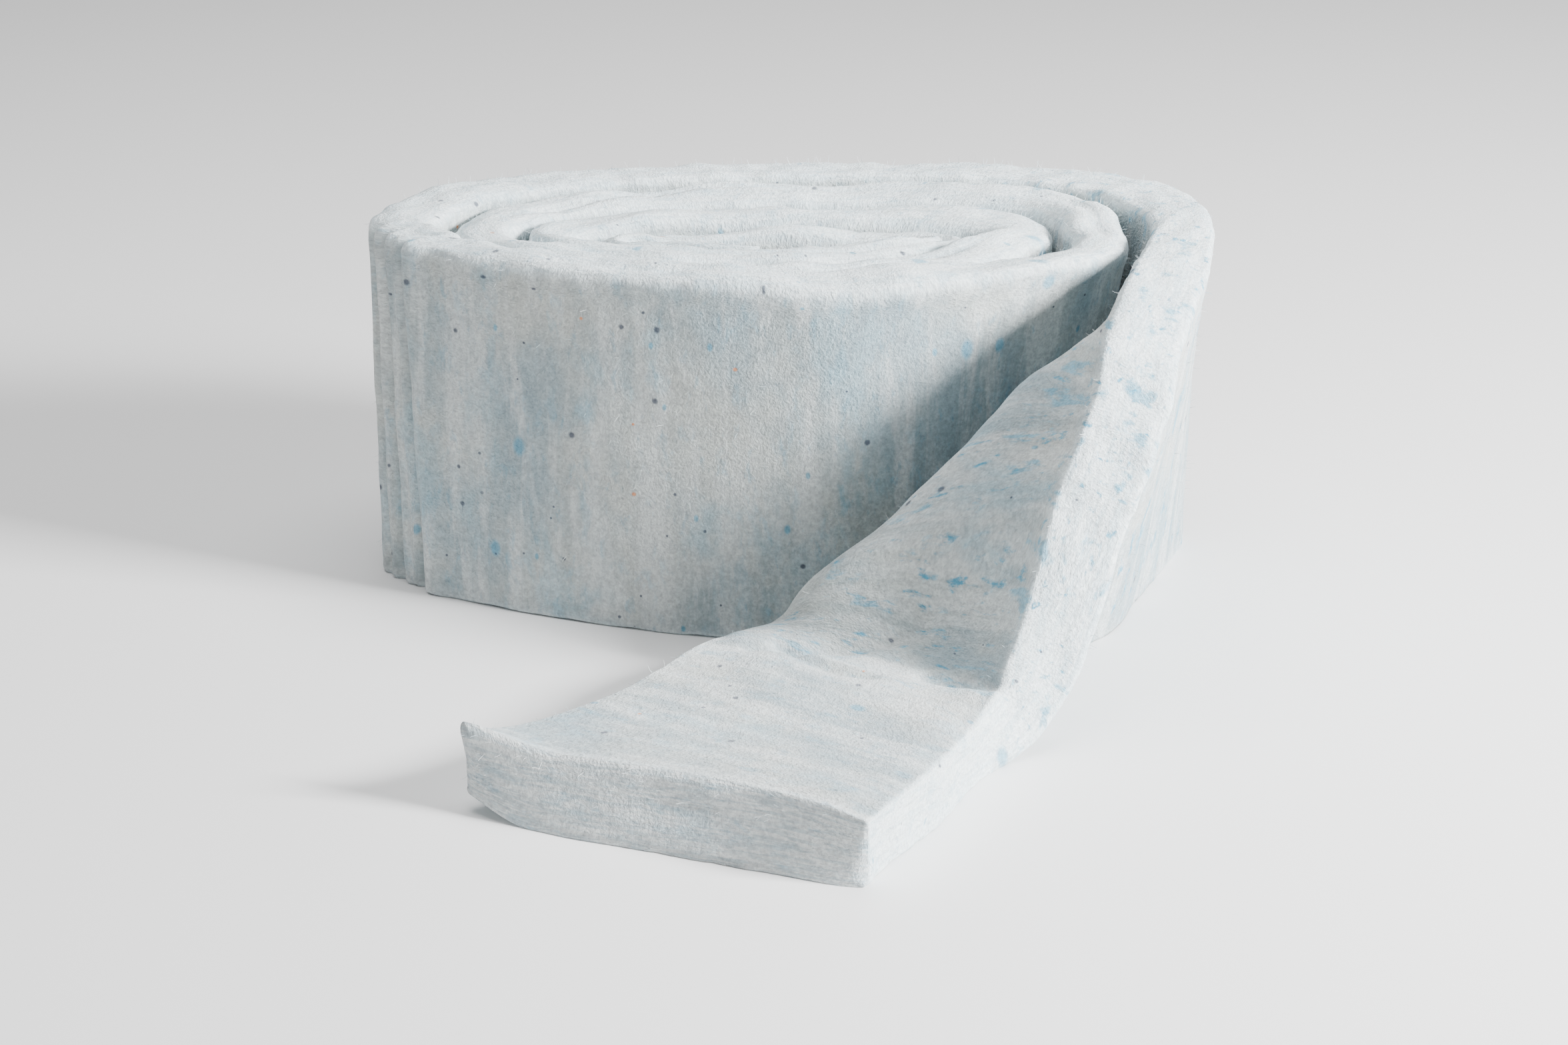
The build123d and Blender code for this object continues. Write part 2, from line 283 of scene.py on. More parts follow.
# Loose fibres on the surface.
FIBRE_LENGTH = 0.007
FIBRE_WIDTH = 0.0004
FIBRE_STEPS = 3
FIBRE_TAPER = 0.6
FIBRE_BEND = 0.45  # share of its length that the tip leans over
FIBRE_DENSITY = 8000  # to the square metre where they are thickest
FIBRE_FACE_SHARE = 0.35  # of that on the faces
FIBRE_FLOOR = 0.016  # no fibres below this height
FIBRE_FLOOR_RUN = 0.02
FIBRE_SEED = 7
FIBRE_LEAN = ((0.5, -0.3, -math.pi), (1.5, 0.3, math.pi))
FIBRE_LEAN_SEED = 0
FIBRE_SPIN = ((0, 0, -math.pi), (0, 0, math.pi))
FIBRE_SPIN_SEED = 5
FIBRE_SIZES = (0.45, 1.2)
FIBRE_SIZE_SEED = 9

# Mesh density in metres.
TAIL_STEP = 0.0055
PLEAT_STEP = 0.0024
FRONT_STEP = 0.0075
INNER_STEP = 0.011
ACROSS_STEP = 0.0085
CORNER_STEPS = 3
EDGE_STEPS = 9
CAP_RINGS = 4
CAP_MARGIN = 0.09  # share of the width that the cut end's rings draw in
CAP_RUN = 0.02  # length that the strip's coordinate runs on over the cut end
SECTION_SAMPLES = 121
STAGE_SAMPLES = 6000
SMOOTHINGS = 6  # of the directions in which the tail's thickness is laid off
TINY = 1e-12  # keeps a normal of no length from being divided by zero

# The stage. The camera's place is measured from the roll's middle.
FLOOR_HALF = 30
LENS_MM = 85
SENSOR_MM = 36
CAMERA_PLACE = (0.012, -3.4567, 1.4494)
CAMERA_DOWN = 22  # degrees
WORLD_STRENGTH = 0.2
# Soft lights: name, place, aim, size, watts.
LIGHTS = [
    ("key", (3.2, -1.1, 1.7), (0.1, 0.1, 0.15), 0.8, 560),
    ("overhead", (-0.2, 0.4, 3.2), (0, 0.1, 0), 2.5, 115),
]


def ease(share):
    """Shares from 0 to 1 with a soft start and end."""
    share = np.clip(share, 0.0, 1.0)
    return share * share * (3 - 2 * share)


def bell(distance):
    """1 at no distance, falling off softly to either side."""
    return np.exp(-(distance**2))


def seeded(x, y):
    """Smooth noise from -1 to 1."""
    return noise.noise(Vector((x, y, 0.0)))


def noise_field(places, waves, seed):
    """Smooth noise from -1 to 1 at every place of an array."""
    flat = places.reshape(-1, 3) * np.array(waves) + seed
    return np.array([noise.noise(place) for place in flat.tolist()]).reshape(places.shape[:-1])


def noise_sum(places, layers):
    """Several noise fields added up, each with its own height."""
    return sum(height * noise_field(places, waves, seed) for height, waves, seed in layers)


def in_metres(coordinates):
    """The strip's own coordinates with the shares across and through it turned into metres."""
    return coordinates * np.array([1.0, STRIP_WIDTH, TAIL_THICKNESS])


def near_edge(across, width):
    """1 on the strip's two long edges, falling to 0 at the given distance from them."""
    return np.clip(1 - np.minimum(across, 1 - across) * STRIP_WIDTH / width, 0, 1)


def running_length(points):
    """Length along a row of points, up to each of them."""
    return np.concatenate([[0], np.cumsum(np.linalg.norm(np.diff(points, axis=0), axis=1))])


def oval_point(turns, inset):
    """Place on the boundary between two turns, so many turns in from the tail, moved in by inset."""
    angle = 2 * math.pi * turns
    cosine = math.cos(angle)
    sine = math.sin(angle)
    left = max(0.0, 1 - turns * TURN_FALL)
    half_x = CORE_X + (OUTER_X - CORE_X) * left - inset
    half_y = CORE_Y + (OUTER_Y - CORE_Y) * left - inset
    power = 2 / (BACK_FULLNESS if sine > 0 else FRONT_FULLNESS)
    skew = BACK_SKEW if sine > 0 else FRONT_SKEW
    rise = abs(sine) ** power
    x = half_x * math.copysign(abs(cosine) ** power, cosine) + skew * half_y * rise**SKEW_POWER
    return ROLL_CENTRE + np.array([x, half_y * math.copysign(rise, sine)])


def seam_side(turns, side):
    """A seam's wall: 1 is the outer face of the turn inside it, -1 the inner face of the one outside."""
    width = SEAM + sum(extra * bell((turns - place) / spread) for place, extra, spread in OPEN_SEAMS)
    opened = min(1.0, max(0.0, (turns - SEAM_START) / SEAM_START_RUN))
    wander = SEAM_WANDER * seeded(turns * SEAM_WAVES, SEAM_SEED)
    return oval_point(turns, opened * (wander + side * width / 2))


def pleat_depth(turns, height_share):
    """How far the outermost turn's face is pressed in by the pleats at its left-hand end."""
    place = turns - PLEAT_SLANT * (1 - height_share)
    return sum(amount * bell((place - centre) / spread) for centre, amount, spread in PLEATS)


def top_height(turns):
    """Height of the strip's upper edge along the winding: inner turns sit a little lower."""
    sag = SAG * min(turns, SAG_LAST_TURN) ** SAG_POWER
    return STRIP_WIDTH - sag + sum(height * seeded(turns * rate, seed) for height, rate, seed in TOP_WAVES)


def tuck(points):
    """Pull points in to the left near the floor at the roll's right-hand front."""
    x = points[..., 0] - ROLL_CENTRE[0]
    y = points[..., 1] - ROLL_CENTRE[1]
    height_share = np.clip(points[..., 2] / STRIP_WIDTH, 0, 1)
    pull = ease((TUCK_START - y) / TUCK_RUN) * ease((x - TUCK_SIDE) / TUCK_SIDE_RUN)
    points[..., 0] -= TUCK_DEPTH * pull * (1 - height_share)


def natural_spline(knots, values, samples):
    """Natural cubic spline through rows of values, read at the samples."""
    count = len(knots)
    flat = values.reshape(count, -1)
    gaps = np.diff(knots)
    matrix = np.eye(count)
    right = np.zeros_like(flat)
    for i in range(1, count - 1):
        matrix[i, i - 1] = gaps[i - 1]
        matrix[i, i] = 2 * (gaps[i - 1] + gaps[i])
        matrix[i, i + 1] = gaps[i]
        right[i] = 6 * ((flat[i + 1] - flat[i]) / gaps[i] - (flat[i] - flat[i - 1]) / gaps[i - 1])
    bends = np.linalg.solve(matrix, right)
    spans = np.clip(np.searchsorted(knots, samples, side="right") - 1, 0, count - 2)
    span = gaps[spans][:, None]
    a = (knots[spans + 1] - samples)[:, None] / span
    b = (samples - knots[spans])[:, None] / span
    curve = a * flat[spans] + b * flat[spans + 1]
    curve += ((a**3 - a) * bends[spans] + (b**3 - b) * bends[spans + 1]) * span**2 / 6
    return curve.reshape((len(samples),) + values.shape[1:])


def read_along(wanted, knots, points):
    """Places along a row of points, at the wanted values of its knots."""
    return np.stack([np.interp(wanted, knots, points[:, axis]) for axis in range(3)], axis=1)


def section_curve(station, shares):
    """A soft curve over one station's points, read at shares of its own length."""
    points = np.array(station, float) * STRIP_WIDTH
    points[:, :2] += TAIL_CORNER
    tuck(points)
    fine = np.linspace(0, 1, SECTION_SAMPLES)
    slack = np.zeros((len(fine), 3))
    degree = len(points) - 1
    for i, point in enumerate(points):
        weight = math.comb(degree, i) * fine**i * (1 - fine) ** (degree - i)
        slack += weight[:, None] * point
    knots = running_length(points)
    tight = natural_spline(knots / knots[-1], points, fine)
    curve = SLACKNESS * slack + (1 - SLACKNESS) * tight
    run = running_length(curve)
    return read_along(shares, run / run[-1], curve)


def section_sides():
    """The strip's rounded section as shares of its width and thickness: a long side and a short one."""
    corner_v = EDGE_ROUNDING / STRIP_WIDTH
    corner_w = EDGE_ROUNDING / TAIL_THICKNESS
    flat_steps = round((STRIP_WIDTH - 2 * EDGE_ROUNDING) / ACROSS_STEP)
    bends = [math.radians(45) * i / CORNER_STEPS for i in range(1, CORNER_STEPS + 1)]

    def side(corner_along, corner_across, steps):
        low = [(corner_along * (1 - math.sin(b)), corner_across * (1 - math.cos(b))) for b in reversed(bends)]
        flat = [(corner_along + (1 - 2 * corner_along) * i / steps, 0.0) for i in range(steps + 1)]
        high = [(1 - along, across) for along, across in reversed(low)]
        return np.array(low + flat + high)

    return side(corner_v, corner_w, flat_steps), side(corner_w, corner_v, EDGE_STEPS)


LONG_SIDE, SHORT_SIDE = section_sides()
LONG_COUNT = len(LONG_SIDE) - 1
SHORT_COUNT = len(SHORT_SIDE) - 1


def ring_shares():
    """Share across the width and share through the thickness of every point round the section."""
    inner = [(v, w) for v, w in LONG_SIDE[:-1]]
    upper = [(1 - v, w) for w, v in SHORT_SIDE[:-1]]
    outer = [(1 - v, 1 - w) for v, w in LONG_SIDE[:-1]]
    lower = [(v, 1 - w) for w, v in SHORT_SIDE[:-1]]
    return np.array(inner + upper + outer + lower)


def roll_rows(stages, shares):
    """Inner and outer face of the wound strip at each stage, as rows of points across the width."""
    inner = np.zeros((len(stages), len(shares), 3))
    outer = np.zeros_like(inner)
    for i, turns in enumerate(stages):
        inner[i, :, :2] = seam_side(turns + 1, -1)
        outer[i, :, :2] = seam_side(turns, 1)
        if abs(turns - PLEATS_MIDDLE) < PLEATS_REACH:
            outer[i, :, :2] = [oval_point(turns, pleat_depth(turns, share)) for share in shares]
        inner[i, :, 2] = outer[i, :, 2] = shares * top_height(turns)
    tuck(inner)
    tuck(outer)
    return inner, outer


def roll_stages():
    """Stages along the winding, spaced by the mesh step of their turn."""
    fine = np.linspace(ROOT_TURNS[0], LAST_TURN, STAGE_SAMPLES)
    middle = np.array([(seam_side(t, 1) + seam_side(t + 1, -1)) / 2 for t in fine])
    steps = np.linalg.norm(np.diff(middle, axis=0), axis=1)
    spacing = np.where(fine[1:] < OUTER_TURN_END, FRONT_STEP, INNER_STEP)
    spacing = np.where(np.abs(fine[1:] - PLEATS_MIDDLE) < PLEATS_MESH_REACH, PLEAT_STEP, spacing)
    count = np.concatenate([[0], np.cumsum(steps / spacing)])
    wanted = np.linspace(0, count[-1], round(count[-1]) + 1)
    return np.interp(wanted, count, fine)


def grid_normals(grid, loop):
    """Unit normals of a grid of points: along the strip by round or across it."""
    along = np.gradient(grid, axis=0)
    if loop:
        across = np.roll(grid, -1, axis=1) - np.roll(grid, 1, axis=1)
    else:
        across = np.gradient(grid, axis=1)
    normal = np.cross(along, across)
    return normal / np.maximum(np.linalg.norm(normal, axis=2, keepdims=True), TINY)


def tail_rows(shares):
    """Inner and outer face of the tail from the cut end back to the roll."""
    root_inner, root_outer = roll_rows(ROOT_TURNS, shares)
    root_count = len(ROOT_TURNS)
    stations = np.array([section_curve(station, shares) for station in TAIL_STATION_SHARES])
    rows = np.concatenate([root_inner, stations])
    root_thickness = np.linalg.norm(root_outer - root_inner, axis=2).mean(axis=1)
    thickness = np.concatenate([root_thickness, np.array(TAIL_THICKNESS_SHARES) * TAIL_THICKNESS])
    steps = np.linalg.norm(np.diff(rows, axis=0), axis=2).mean(axis=1)
    knots = np.concatenate([[0], np.cumsum(steps)])
    samples = np.linspace(0, knots[-1], round(knots[-1] / TAIL_STEP) + 1)
    inner = natural_spline(knots, rows, samples)
    depth = np.interp(samples, knots, thickness)
    normal = grid_normals(inner, False)
    for _ in range(SMOOTHINGS):
        padded = np.pad(normal, ((1, 1), (1, 1), (0, 0)), mode="edge")
        normal = (padded[:-2, 1:-1] + padded[2:, 1:-1] + padded[1:-1, :-2] + padded[1:-1, 2:]) / 4
    normal /= np.linalg.norm(normal, axis=2, keepdims=True)
    outer = inner - normal * depth[:, None, None]
    near_root = np.clip(samples / knots[root_count], 0, 1)[:, None, None]
    wound = natural_spline(knots[:root_count], root_outer, np.clip(samples, 0, knots[root_count - 1]))
    outer = wound + (outer - wound) * near_root
    outer[:, :, 2] = np.maximum(outer[:, :, 2], 0.0)
    return inner[::-1], outer[::-1]


def section_points(inner_row, outer_row, row_shares, across, through):
    """Points between the two faces of one row, at shares across the width and through the thickness."""
    inner = read_along(across, row_shares, inner_row)
    outer = read_along(across, row_shares, outer_row)
    return inner + (outer - inner) * through[:, None]


def blanket_grid():
    """Points of the whole strip, ring by ring from the cut end to the heart, its coordinates and turns."""
    ring = ring_shares()
    shares = np.unique(np.round(ring[:, 0], 9))
    tail_inner, tail_outer = tail_rows(shares)
    stages = roll_stages()
    wound_inner, wound_outer = roll_rows(stages, shares)
    inner = np.concatenate([tail_inner[:-1], wound_inner])
    outer = np.concatenate([tail_outer[:-1], wound_outer])
    rows = [section_points(a, b, shares, ring[:, 0], ring[:, 1]) for a, b in zip(inner, outer)]
    run = running_length((inner[:, len(shares) // 2] + outer[:, len(shares) // 2]) / 2)
    coordinates = [np.stack([np.full(len(ring), s), ring[:, 0], ring[:, 1]], axis=1) for s in run]
    turns = np.concatenate([np.zeros(len(tail_inner) - 1 + CAP_RINGS), stages])
    for step in range(1, CAP_RINGS + 1):
        shrink = step / (CAP_RINGS + 1)
        drawn_in = np.clip(ring[:, 0], CAP_MARGIN, 1 - CAP_MARGIN)
        across = ring[:, 0] + (drawn_in - ring[:, 0]) * shrink
        through = 0.5 + (ring[:, 1] - 0.5) * (1 - shrink)
        rows.insert(0, section_points(inner[0], outer[0], shares, across, through))
        coordinates.insert(0, np.stack([np.full(len(ring), -CAP_RUN * shrink), across, through], axis=1))
    return np.array(rows), np.array(coordinates), turns


def swell_turns(points, coordinates, turns):
    """Round the turns' upper edges like pillows of uneven height, with lines between their layers."""
    across, through = coordinates[..., 1], coordinates[..., 2]
    inside = ease((turns - SWELL_START) / SWELL_RUN)[:, None]
    places = in_metres(coordinates)
    upper = ease((across - UPPER_START) / UPPER_RUN)
    pillow = PILLOW * (PILLOW_OUTER_SHARE + (1 - PILLOW_OUTER_SHARE) * inside)
    drop = pillow * np.abs(2 * through - 1) ** PILLOW_POWER
    drop += inside * UNEVENNESS * noise_field(places, *UNEVEN_NOISE)
    line = LAYER_LINE_PLACE + LAYER_LINE_WANDER * noise_field(places, *LAYER_WANDER_NOISE)
    shown = np.clip(LAYER_SHOWN + LAYER_SHOWN_CHANGE * noise_field(places, *LAYER_SHOWN_NOISE), 0, 1)
    drop += inside * LAYER_LINE * shown * bell((through - line) / LAYER_LINE_WIDTH)
    points[..., 2] -= upper * drop


def shape_cut_end(points, coordinates):
    """Slant the cut end, let its upper layer curl at the left and show its fibre layers."""
    along, across, through = np.moveaxis(coordinates, 2, 0)
    left = points[CAP_RINGS, 0]
    right = points[CAP_RINGS, LONG_COUNT]
    edge = (right - left)[:2] / np.linalg.norm((right - left)[:2])
    ahead = np.array([edge[1], -edge[0]])
    if ahead[1] > 0:
        ahead = -ahead
    fade = 1 - ease(np.maximum(along, 0) / END_REACH)
    round_off = np.sqrt(np.clip(np.sin(np.pi * np.clip(across, 0, 1)), 0, 1))
    push = END_SLANT * round_off * through * fade
    split_place = SPLIT_PLACE + SPLIT_WAVE * np.sin(across * SPLIT_WAVE_RATE)
    split = bell((through - split_place) / SPLIT_WIDTH)
    split *= SPLIT_LEFT_SHARE + (1 - SPLIT_LEFT_SHARE) * across
    relief = noise_sum(coordinates, CUT_RELIEF) - SPLIT_DEPTH * split
    push += np.where(along < CUT_START, relief * round_off**CUT_RELIEF_POWER, 0.0)
    points[..., 0] += ahead[0] * push
    points[..., 1] += ahead[1] * push
    width = across * STRIP_WIDTH
    curl = (1 - ease(width / CURL_WIDTH)) * np.exp(-np.maximum(along, 0) / CURL_LENGTH)
    curl *= np.clip(1 - through / CURL_LAYER, 0, 1)
    points[..., 2] += CURL_HEIGHT * curl
    points[..., 2] += CORNER_LIFT * (1 - ease(width / CORNER_WIDTH)) * fade * np.clip(through, 0, 1) ** 2
    points[..., :2] -= CURL_REACH * curl[..., None] * edge


def press_creases(points, coordinates):
    """Press the soft creases into the tail's upper face."""
    x = points[..., 0] - ROLL_CENTRE[0]
    y = points[..., 1] - ROLL_CENTRE[1]
    upper = np.clip(1 - coordinates[..., 2] / CREASE_LAYER, 0, 1) * (coordinates[..., 0] < CREASE_LIMIT)
    for start, middle, end, depth in CREASES:
        nearest = np.full(x.shape, np.inf)
        for share in np.linspace(0, 1, CREASE_SAMPLES):
            weights = ((1 - share) ** 2, 2 * share * (1 - share), share**2)
            place = sum(w * np.array(p) for w, p in zip(weights, (start, middle, end)))
            nearest = np.minimum(nearest, np.hypot(x - place[0], y - place[1]))
        points[..., 2] -= depth * upper * bell(nearest / CREASE_WIDTH)


def add_relief(points, coordinates):
    """Push the surface in and out: soft swells on the faces and a rougher, torn look on the edges."""
    places = in_metres(coordinates)
    across = coordinates[..., 1]
    edge = near_edge(across, EDGE_RELIEF_WIDTH)
    height = noise_sum(places, FACE_RELIEF) + edge * noise_sum(places, EDGE_RELIEF)
    height *= ease(coordinates[..., 0] / RELIEF_START)
    height *= np.where((across < 0.5) & (edge > 0), LOWER_EDGE_SHARE, 1.0)
    points -= grid_normals(points, True) * height[..., None]
    points[..., 2] = np.maximum(points[..., 2], 0.0)


def blanket_faces(ring_count, loop):
    """Quads between the rings, and a ladder of quads over each end."""
    faces = []
    for i in range(ring_count - 1):
        for j in range(loop):
            k = (j + 1) % loop
            faces.append((i * loop + j, i * loop + k, (i + 1) * loop + k, (i + 1) * loop + j))
    opposite = 2 * LONG_COUNT + SHORT_COUNT
    caps = [(j, j + 1, opposite - j - 1, opposite - j) for j in range(LONG_COUNT)]
    caps.append(tuple(range(LONG_COUNT, LONG_COUNT + SHORT_COUNT + 1)))
    caps.append(tuple(range(opposite, loop)) + (0,))
    for first, flip in ((0, True), ((ring_count - 1) * loop, False)):
        for cap in caps:
            places = tuple(first + j for j in cap)
            faces.append(places[::-1] if flip else places)
    return faces


def add_object(name, data):
    """An object for a mesh, camera or light, in the scene."""
    made = bpy.data.objects.new(name, data)
    bpy.context.scene.collection.objects.link(made)
    return made


def make_blanket():
    """The whole strip as one closed mesh, with its own coordinates and two masks as attributes."""
    points, coordinates, turns = blanket_grid()
    swell_turns(points, coordinates, turns)
    shape_cut_end(points, coordinates)
    press_creases(points, coordinates)
    add_relief(points, coordinates)
    ring_count, loop = points.shape[:2]
    mesh = bpy.data.meshes.new("insulation_blanket_strip")
    mesh.from_pydata(points.reshape(-1, 3).tolist(), [], blanket_faces(ring_count, loop))
    mesh.polygons.foreach_set("use_smooth", [True] * len(mesh.polygons))
    strip = mesh.attributes.new("strip", "FLOAT_VECTOR", "POINT")
    strip.data.foreach_set("vector", in_metres(coordinates).reshape(-1))
    edge = near_edge(coordinates[..., 1], EDGE_COLOUR_WIDTH)
    edge = np.maximum(edge, np.clip(1 - coordinates[..., 0] / EDGE_COLOUR_WIDTH, 0, 1))
    fuzz = np.clip((points[..., 2] - FIBRE_FLOOR) / FIBRE_FLOOR_RUN, 0, 1)
    fuzz *= np.where(turns[:, None] < OUTER_TURN_END, 1.0, edge)
    fuzz *= FIBRE_FACE_SHARE + (1 - FIBRE_FACE_SHARE) * edge
    for name, values in (("edge", edge), ("fuzz", fuzz)):
        mask = mesh.attributes.new(name, "FLOAT", "POINT")
        mask.data.foreach_set("value", values.reshape(-1))
    return add_object("insulation_blanket_strip", mesh)


def feed(tree, socket, value):
    """Give a socket a value, or link it to another node's output."""
    if isinstance(value, bpy.types.NodeSocket):
        tree.links.new(value, socket)
    else:
        socket.default_value = value


def add_node(tree, kind, settings=None, **sockets):
    """A node with its settings, each named socket given a value or linked to another's output."""
    made = tree.nodes.new(kind)
    for name, value in (settings or {}).items():
        setattr(made, name, value)
    for name, value in sockets.items():
        feed(tree, made.inputs[name.replace("_", " ")], value)
    return made


def stretched(tree, places, scale, offset):
    """The strip's coordinates, scaled to grains per metre along it, across it and through it."""
    shifted = add_node(tree, "ShaderNodeVectorMath", {"operation": "MULTIPLY_ADD"})
    for socket, value in zip(shifted.inputs, (places, scale, (offset, offset, offset))):
        feed(tree, socket, value)
    return shifted.outputs[0]


def grain(tree, places, scale, detail, offset, swirl):
    """Noise from 0 to 1 over the strip's coordinates."""
    where = stretched(tree, places, scale, offset)
    made = add_node(tree, "ShaderNodeTexNoise", Vector=where, Scale=1.0, Detail=detail,
                    Roughness=GRAIN_ROUGHNESS, Distortion=swirl)
    return made.outputs[0]


def band(tree, value, low, high, to_low=0.0, to_high=1.0):
    """A value's soft passage from one level to another."""
    made = add_node(tree, "ShaderNodeMapRange", {"interpolation_type": "SMOOTHSTEP"}, Value=value,
                    From_Min=low, From_Max=high, To_Min=to_low, To_Max=to_high)
    return made.outputs[0]


def combined(tree, operation, first, second):
    """Two values combined by a sum or product."""
    made = add_node(tree, "ShaderNodeMath", {"operation": operation})
    for socket, value in zip(made.inputs, (first, second)):
        feed(tree, socket, value)
    return made.outputs[0]


def product(tree, first, second):
    """Two values multiplied."""
    return combined(tree, "MULTIPLY", first, second)


def mixed(tree, share, first, second, blend="MIX"):
    """Two colours mixed, each a colour or another node's output."""
    made = add_node(tree, "ShaderNodeMix", {"data_type": "RGBA", "blend_type": blend})
    # The node has a set of sockets for each kind of value: these are the colours'.
    for socket, value in ((made.inputs[0], share), (made.inputs[6], first), (made.inputs[7], second)):
        feed(tree, socket, value)
    return made.outputs[2]


def layered(tree, colour, grains, mixes, mask=1.0):
    """A colour with others laid over it by their noise."""
    for name, low, high, most, tint in mixes:
        share = product(tree, band(tree, grains[name], low, high, 0.0, most), mask)
        colour = mixed(tree, share, colour, tint)
    return colour


def specks(tree, places, along, across, size, channel, rarity):
    """A mask of scattered specks: one cell in so many holds one, of the given size as a share of a cell."""
    parts = add_node(tree, "ShaderNodeSeparateXYZ", Vector=places).outputs
    beside = combined(tree, "ADD", parts[1], parts[2])
    unrolled = add_node(tree, "ShaderNodeCombineXYZ", X=parts[0], Y=beside)
    where = stretched(tree, unrolled.outputs[0], (along, across, 1), rarity)
    cells = add_node(tree, "ShaderNodeTexVoronoi", {"voronoi_dimensions": "2D"}, Vector=where, Scale=1.0)
    tints = add_node(tree, "ShaderNodeSeparateColor", Color=cells.outputs["Color"]).outputs
    shrink = band(tree, tints[(channel + 1) % 3], 0.0, 1.0, *SPECK_SHRINK)
    inside = band(tree, product(tree, cells.outputs["Distance"], shrink), size, size * SPECK_CORE)
    chosen = band(tree, tints[channel], rarity, rarity + SPECK_CHOICE)
    on_strip = band(tree, parts[0], 0.0, SPECK_START)
    return product(tree, product(tree, inside, chosen), on_strip)


def fibre_material():
    """Pale recycled-fibre felt: streaky grey-blue faces, whiter torn edges, and coloured specks of rag."""
    material = bpy.data.materials.new("fibre_blanket")
    material.use_nodes = True
    tree = material.node_tree
    shader = tree.nodes["Principled BSDF"]
    places = add_node(tree, "ShaderNodeAttribute", {"attribute_name": "strip"}).outputs["Vector"]
    edge = add_node(tree, "ShaderNodeAttribute", {"attribute_name": "edge"}).outputs["Fac"]
    run = add_node(tree, "ShaderNodeSeparateXYZ", Vector=places).outputs[0]
    grains = {name: grain(tree, places, *row) for name, row in GRAINS.items()}

    face = layered(tree, COOL_GREY, grains, FACE_MIXES)
    torn = layered(tree, EDGE_WHITE, grains, TORN_MIXES)
    cut = layered(tree, CUT_PALE, grains, CUT_MIXES)
    torn = mixed(tree, band(tree, run, *CUT_FADE), torn, cut)
    colour = mixed(tree, edge, face, torn)

    dyed = product(tree, band(tree, run, *DYED_START), band(tree, run, *DYED_END))
    colour = layered(tree, colour, grains, DYE_MIXES, band(tree, dyed, 0.0, 1.0, DYE_ELSEWHERE, 1.0))
    for *row, strength, tint in SPECKS:
        colour = mixed(tree, product(tree, specks(tree, places, *row), strength), colour, tint)
    for name, strength in SHADES:
        shade = mixed(tree, band(tree, grains[name], *SHADE_LEVELS), DIMMER, BRIGHTER)
        colour = mixed(tree, strength, colour, shade, "MULTIPLY")
    feed(tree, shader.inputs["Base Color"], colour)

    target = shader.inputs["Normal"]
    for name, strength, height in reversed(BUMPS):
        bump = add_node(tree, "ShaderNodeBump", Strength=strength, Distance=height, Height=grains[name])
        feed(tree, target, bump.outputs[0])
        target = bump.inputs["Normal"]
    for name, value in FELT.items():
        shader.inputs[name].default_value = value
    return material


def fibre_shape():
    """One loose fibre: a thin bent ribbon standing on the origin."""
    points = []
    for i in range(FIBRE_STEPS + 1):
        rise = i / FIBRE_STEPS
        half = FIBRE_WIDTH / 2 * (1 - FIBRE_TAPER * rise)
        bend = FIBRE_LENGTH * FIBRE_BEND * rise**2
        points += [(-half, bend, FIBRE_LENGTH * rise), (half, bend, FIBRE_LENGTH * rise)]
    faces = [(2 * i, 2 * i + 1, 2 * i + 3, 2 * i + 2) for i in range(FIBRE_STEPS)]
    mesh = bpy.data.meshes.new("fibre")
    mesh.from_pydata(points, [], faces)
    return add_object("fibre", mesh)


def turned_by(tree, rotation, limits, seed):
    """A rotation turned further by a random one between two limits."""
    chance = add_node(tree, "FunctionNodeRandomValue", {"data_type": "FLOAT_VECTOR"}, Seed=seed)
    for socket, limit in zip(chance.inputs, limits):
        feed(tree, socket, limit)
    made = add_node(tree, "FunctionNodeRotateRotation", {"rotation_space": "LOCAL"})
    for socket, value in zip(made.inputs, (rotation, chance.outputs[0])):
        feed(tree, socket, value)
    return made.outputs[0]


def fuzz_tree(material):
    """Geometry nodes that scatter fibres over a mesh by its fuzz attribute, mostly lying down."""
    tree = bpy.data.node_groups.new("loose_fibres", "GeometryNodeTree")
    for name, kind in (("Geometry", "Geometry"), ("Fibre", "Object"), ("Density", "Float"), ("Seed", "Int")):
        tree.interface.new_socket(name, in_out="INPUT", socket_type="NodeSocket" + kind)
    tree.interface.new_socket("Geometry", in_out="OUTPUT", socket_type="NodeSocketGeometry")
    given = tree.nodes.new("NodeGroupInput").outputs
    mask = add_node(tree, "GeometryNodeInputNamedAttribute", {"data_type": "FLOAT"}, Name="fuzz")
    density = product(tree, given["Density"], mask.outputs["Attribute"])
    points = add_node(tree, "GeometryNodeDistributePointsOnFaces", Mesh=given["Geometry"],
                      Density=density, Seed=given["Seed"])
    spun = turned_by(tree, points.outputs["Rotation"], FIBRE_SPIN, FIBRE_SPIN_SEED)
    leant = turned_by(tree, spun, FIBRE_LEAN, FIBRE_LEAN_SEED)
    size = add_node(tree, "FunctionNodeRandomValue", {"data_type": "FLOAT"}, Seed=FIBRE_SIZE_SEED)
    # The node's first two limits are for vectors, the next two for single values.
    size.inputs[2].default_value, size.inputs[3].default_value = FIBRE_SIZES
    shape = add_node(tree, "GeometryNodeObjectInfo", Object=given["Fibre"])
    placed = add_node(tree, "GeometryNodeInstanceOnPoints", Points=points.outputs["Points"],
                      Instance=shape.outputs["Geometry"], Rotation=leant, Scale=size.outputs[1])
    real = add_node(tree, "GeometryNodeRealizeInstances", Geometry=placed.outputs["Instances"])
    dressed = add_node(tree, "GeometryNodeSetMaterial", Geometry=real.outputs["Geometry"], Material=material)
    add_node(tree, "NodeGroupOutput", Geometry=dressed.outputs["Geometry"])
    return tree


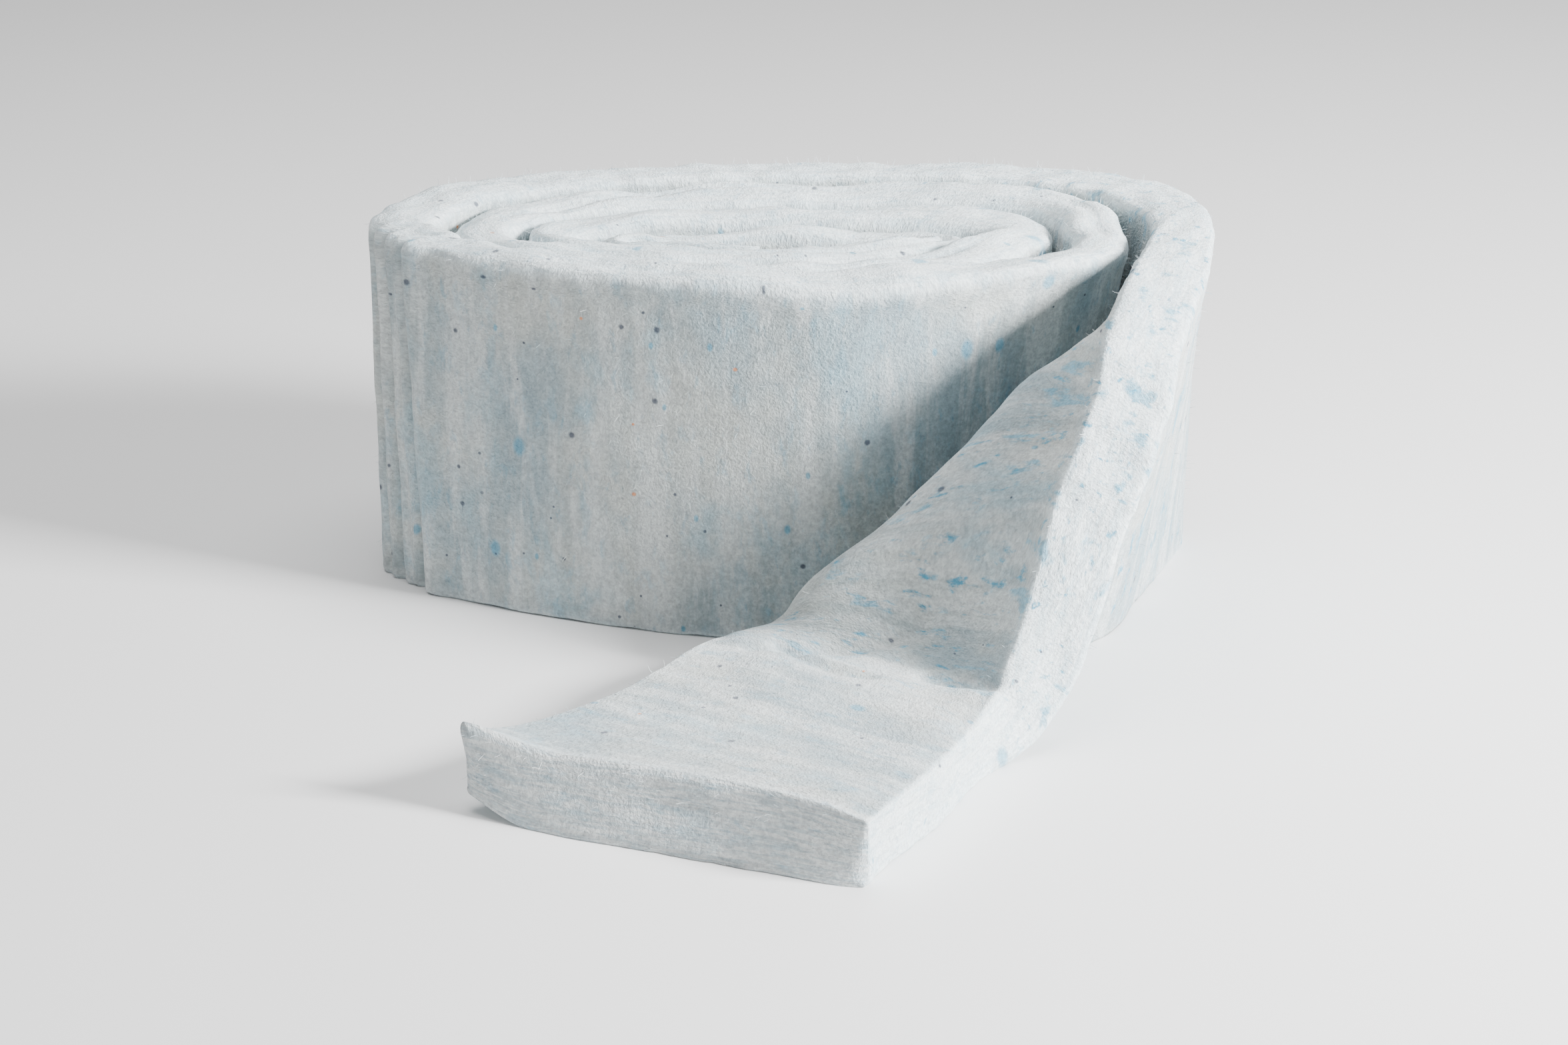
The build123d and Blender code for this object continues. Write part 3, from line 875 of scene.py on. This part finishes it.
def make_fuzz(blanket, material):
    """The loose fibres on the blanket as one plain mesh."""
    fibre = fibre_shape()
    modifier = blanket.modifiers.new("loose_fibres", "NODES")
    tree = fuzz_tree(material)
    settings = {"Fibre": fibre, "Density": FIBRE_DENSITY, "Seed": FIBRE_SEED}
    modifier.node_group = tree
    for item in tree.interface.items_tree:
        if item.in_out == "INPUT" and item.name in settings:
            modifier[item.identifier] = settings[item.name]
    graph = bpy.context.evaluated_depsgraph_get()
    mesh = bpy.data.meshes.new_from_object(blanket.evaluated_get(graph))
    blanket.modifiers.remove(modifier)
    bpy.data.objects.remove(fibre)
    return add_object("loose_fibres", mesh)


def area_light(name, place, aim, size, energy):
    """A square soft light at one place, aimed at another."""
    data = bpy.data.lights.new(name, "AREA")
    data.energy = energy
    data.size = size
    light = add_object(name, data)
    light.location = place
    light.rotation_euler = (Vector(aim) - Vector(place)).to_track_quat("-Z", "Y").to_euler()


blanket = make_blanket()
felt = fibre_material()
blanket.data.materials.append(felt)
fuzz = make_fuzz(blanket, felt)
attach(blanket, "root")
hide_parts(NODE)
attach(fuzz, "root")

floor_mesh = bpy.data.meshes.new("floor")
floor_corners = [(x * FLOOR_HALF, y * FLOOR_HALF, 0) for x, y in ((-1, -1), (1, -1), (1, 1), (-1, 1))]
floor_mesh.from_pydata(floor_corners, [], [(0, 1, 2, 3)])
floor = add_object("floor", floor_mesh)
floor_material = bpy.data.materials.new("pale_floor")
floor_material.use_nodes = True
floor_material.node_tree.nodes["Principled BSDF"].inputs["Base Color"].default_value = FLOOR_WHITE
floor_mesh.materials.append(floor_material)

camera_data = bpy.data.cameras.new("camera")
camera_data.lens = LENS_MM
camera_data.sensor_width = SENSOR_MM
camera = add_object("camera", camera_data)
camera.location = (ROLL_CENTRE[0] + CAMERA_PLACE[0], ROLL_CENTRE[1] + CAMERA_PLACE[1], CAMERA_PLACE[2])
camera.rotation_euler = (math.radians(90 - CAMERA_DOWN), 0, 0)
bpy.context.scene.camera = camera

world = bpy.data.worlds.new("studio")
world.use_nodes = True
background = world.node_tree.nodes["Background"]
background.inputs["Color"].default_value = (1, 1, 1, 1)
background.inputs["Strength"].default_value = WORLD_STRENGTH
bpy.context.scene.world = world

for light in LIGHTS:
    area_light(*light)
